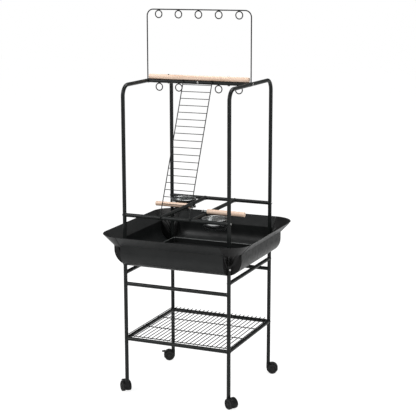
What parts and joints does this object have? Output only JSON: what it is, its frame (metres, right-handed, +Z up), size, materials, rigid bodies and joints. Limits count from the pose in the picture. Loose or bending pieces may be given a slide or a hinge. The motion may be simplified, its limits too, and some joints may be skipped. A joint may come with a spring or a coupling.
{
  "type": "parrot play stand",
  "caption": "Black tubular parrot play stand on swivel casters, with a wooden top perch, toy hoop and rings, wire ladder, cups in wire holders, side perches, seed guard, pan and wire shelf",
  "frame": {"origin": "on the floor, in the middle between the four casters", "axes": "+Z up, +X to the right, -Y to the front"},
  "size_m": [0.652, 0.652, 1.604],
  "materials": {
    "frame_black": "satin black powder coat",
    "guard_black": "satin black powder coat on sheet",
    "corner_plastic": "moulded, fine grain",
    "perch_wood": "sanded, unvarnished",
    "cup_steel": "spun stainless",
    "fastener_steel": "bright plated",
    "caster_plastic": "moulded"
  },
  "bodies": {
    "frame": {"front_left_leg": "frame_black", "front_right_leg": "frame_black", "rear_left_leg": "frame_black", "rear_right_leg": "frame_black", "front_cross_bar": "frame_black", "rear_cross_bar": "frame_black", "front_shelf_bar": "frame_black", "rear_shelf_bar": "frame_black", "left_side_bar": "frame_black", "right_side_bar": "frame_black", "left_shelf_bar": "frame_black", "right_shelf_bar": "frame_black", "left_hoop": "frame_black", "right_hoop": "frame_black", "platform_front_rail": "frame_black", "platform_rear_rail": "frame_black", "platform_left_cross_bar": "frame_black", "platform_right_cross_bar": "frame_black", "perch_bar": "frame_black", "top_perch": "perch_wood", "top_perch_bolts": "fastener_steel", "toy_hoop": "frame_black", "toy_rings": "frame_black", "left_cup_holder": "frame_black", "left_perch_clamp": "frame_black", "left_perch": "perch_wood", "right_cup_holder": "frame_black", "right_perch_clamp": "frame_black", "right_perch": "perch_wood", "side_perch_bolts": "fastener_steel", "seed_guard_right": "guard_black", "seed_guard_rear": "guard_black", "seed_guard_left": "guard_black", "seed_guard_front": "guard_black", "guard_corner_rear_right": "corner_plastic", "guard_corner_rear_left": "corner_plastic", "guard_corner_front_left": "corner_plastic", "guard_corner_front_right": "corner_plastic", "caster_sockets": "caster_plastic", "frame_screws": "fastener_steel"},
    "ladder": {"ladder_side_wires": "frame_black", "ladder_rungs": "frame_black"},
    "left_cup": {"left_cup": "cup_steel"},
    "right_cup": {"right_cup": "cup_steel"},
    "debris_pan": {"debris_pan": "guard_black"},
    "shelf_grid": {"shelf_grid": "frame_black"},
    "front_left_caster": {"front_left_caster_housing": "caster_plastic", "front_left_caster_pins": "fastener_steel"},
    "front_left_wheels": {"front_left_caster_wheels": "caster_plastic"},
    "front_left_brake": {"front_left_brake_lever": "caster_plastic"},
    "front_right_caster": {"front_right_caster_housing": "caster_plastic", "front_right_caster_pins": "fastener_steel"},
    "front_right_wheels": {"front_right_caster_wheels": "caster_plastic"},
    "rear_left_caster": {"rear_left_caster_housing": "caster_plastic", "rear_left_caster_pins": "fastener_steel"},
    "rear_left_wheels": {"rear_left_caster_wheels": "caster_plastic"},
    "rear_left_brake": {"rear_left_brake_lever": "caster_plastic"},
    "rear_right_caster": {"rear_right_caster_housing": "caster_plastic", "rear_right_caster_pins": "fastener_steel"},
    "rear_right_wheels": {"rear_right_caster_wheels": "caster_plastic"}
  },
  "joints": [
    {"name": "ladder_swing", "type": "hinge", "parent": "frame", "child": "ladder", "pos_m": [0, 0, 1.305], "axis": [-1, 0, 0], "range_deg": [0, 25]},
    {"name": "left_cup_lift", "type": "slide", "parent": "frame", "child": "left_cup", "axis": [0, 0, 1], "range_m": [0, 0.08]},
    {"name": "right_cup_lift", "type": "slide", "parent": "frame", "child": "right_cup", "axis": [0, 0, 1], "range_m": [0, 0.08]},
    {"name": "debris_pan_lift", "type": "slide", "parent": "frame", "child": "debris_pan", "axis": [0, 0, 1], "range_m": [0, 0.1]},
    {"name": "shelf_grid_lift", "type": "slide", "parent": "frame", "child": "shelf_grid", "axis": [0, 0, 1], "range_m": [0, 0.1]},
    {"name": "front_left_swivel", "type": "hinge", "parent": "frame", "child": "front_left_caster", "pos_m": [-0.233, -0.233, 0.05], "axis": [0, 0, 1], "continuous": true},
    {"name": "front_left_roll", "type": "hinge", "parent": "front_left_caster", "child": "front_left_wheels", "pos_m": [-0.24595, -0.2205, 0.0215], "axis": [-0.6947, -0.7193, 0], "continuous": true},
    {"name": "front_left_brake", "type": "hinge", "parent": "front_left_caster", "child": "front_left_brake", "pos_m": [-0.26187, -0.20512, 0.04008], "axis": [-0.6947, -0.7193, 0], "range_deg": [-20, 0]},
    {"name": "front_right_swivel", "type": "hinge", "parent": "frame", "child": "front_right_caster", "pos_m": [0.233, -0.233, 0.05], "axis": [0, 0, 1], "continuous": true},
    {"name": "front_right_roll", "type": "hinge", "parent": "front_right_caster", "child": "front_right_wheels", "pos_m": [0.24889, -0.24145, 0.0215], "axis": [0.4695, 0.8829, 0], "continuous": true},
    {"name": "rear_left_swivel", "type": "hinge", "parent": "frame", "child": "rear_left_caster", "pos_m": [-0.233, 0.233, 0.05], "axis": [0, 0, 1], "continuous": true},
    {"name": "rear_left_roll", "type": "hinge", "parent": "rear_left_caster", "child": "rear_left_wheels", "pos_m": [-0.24889, 0.22455, 0.0215], "axis": [0.4695, -0.8829, 0], "continuous": true},
    {"name": "rear_left_brake", "type": "hinge", "parent": "rear_left_caster", "child": "rear_left_brake", "pos_m": [-0.26844, 0.21416, 0.04008], "axis": [0.4695, -0.8829, 0], "range_deg": [-20, 0]},
    {"name": "rear_right_swivel", "type": "hinge", "parent": "frame", "child": "rear_right_caster", "pos_m": [0.233, 0.233, 0.05], "axis": [0, 0, 1], "continuous": true},
    {"name": "rear_right_roll", "type": "hinge", "parent": "rear_right_caster", "child": "rear_right_wheels", "pos_m": [0.24991, 0.23916, 0.0215], "axis": [-0.342, 0.9397, 0], "continuous": true}
  ]
}
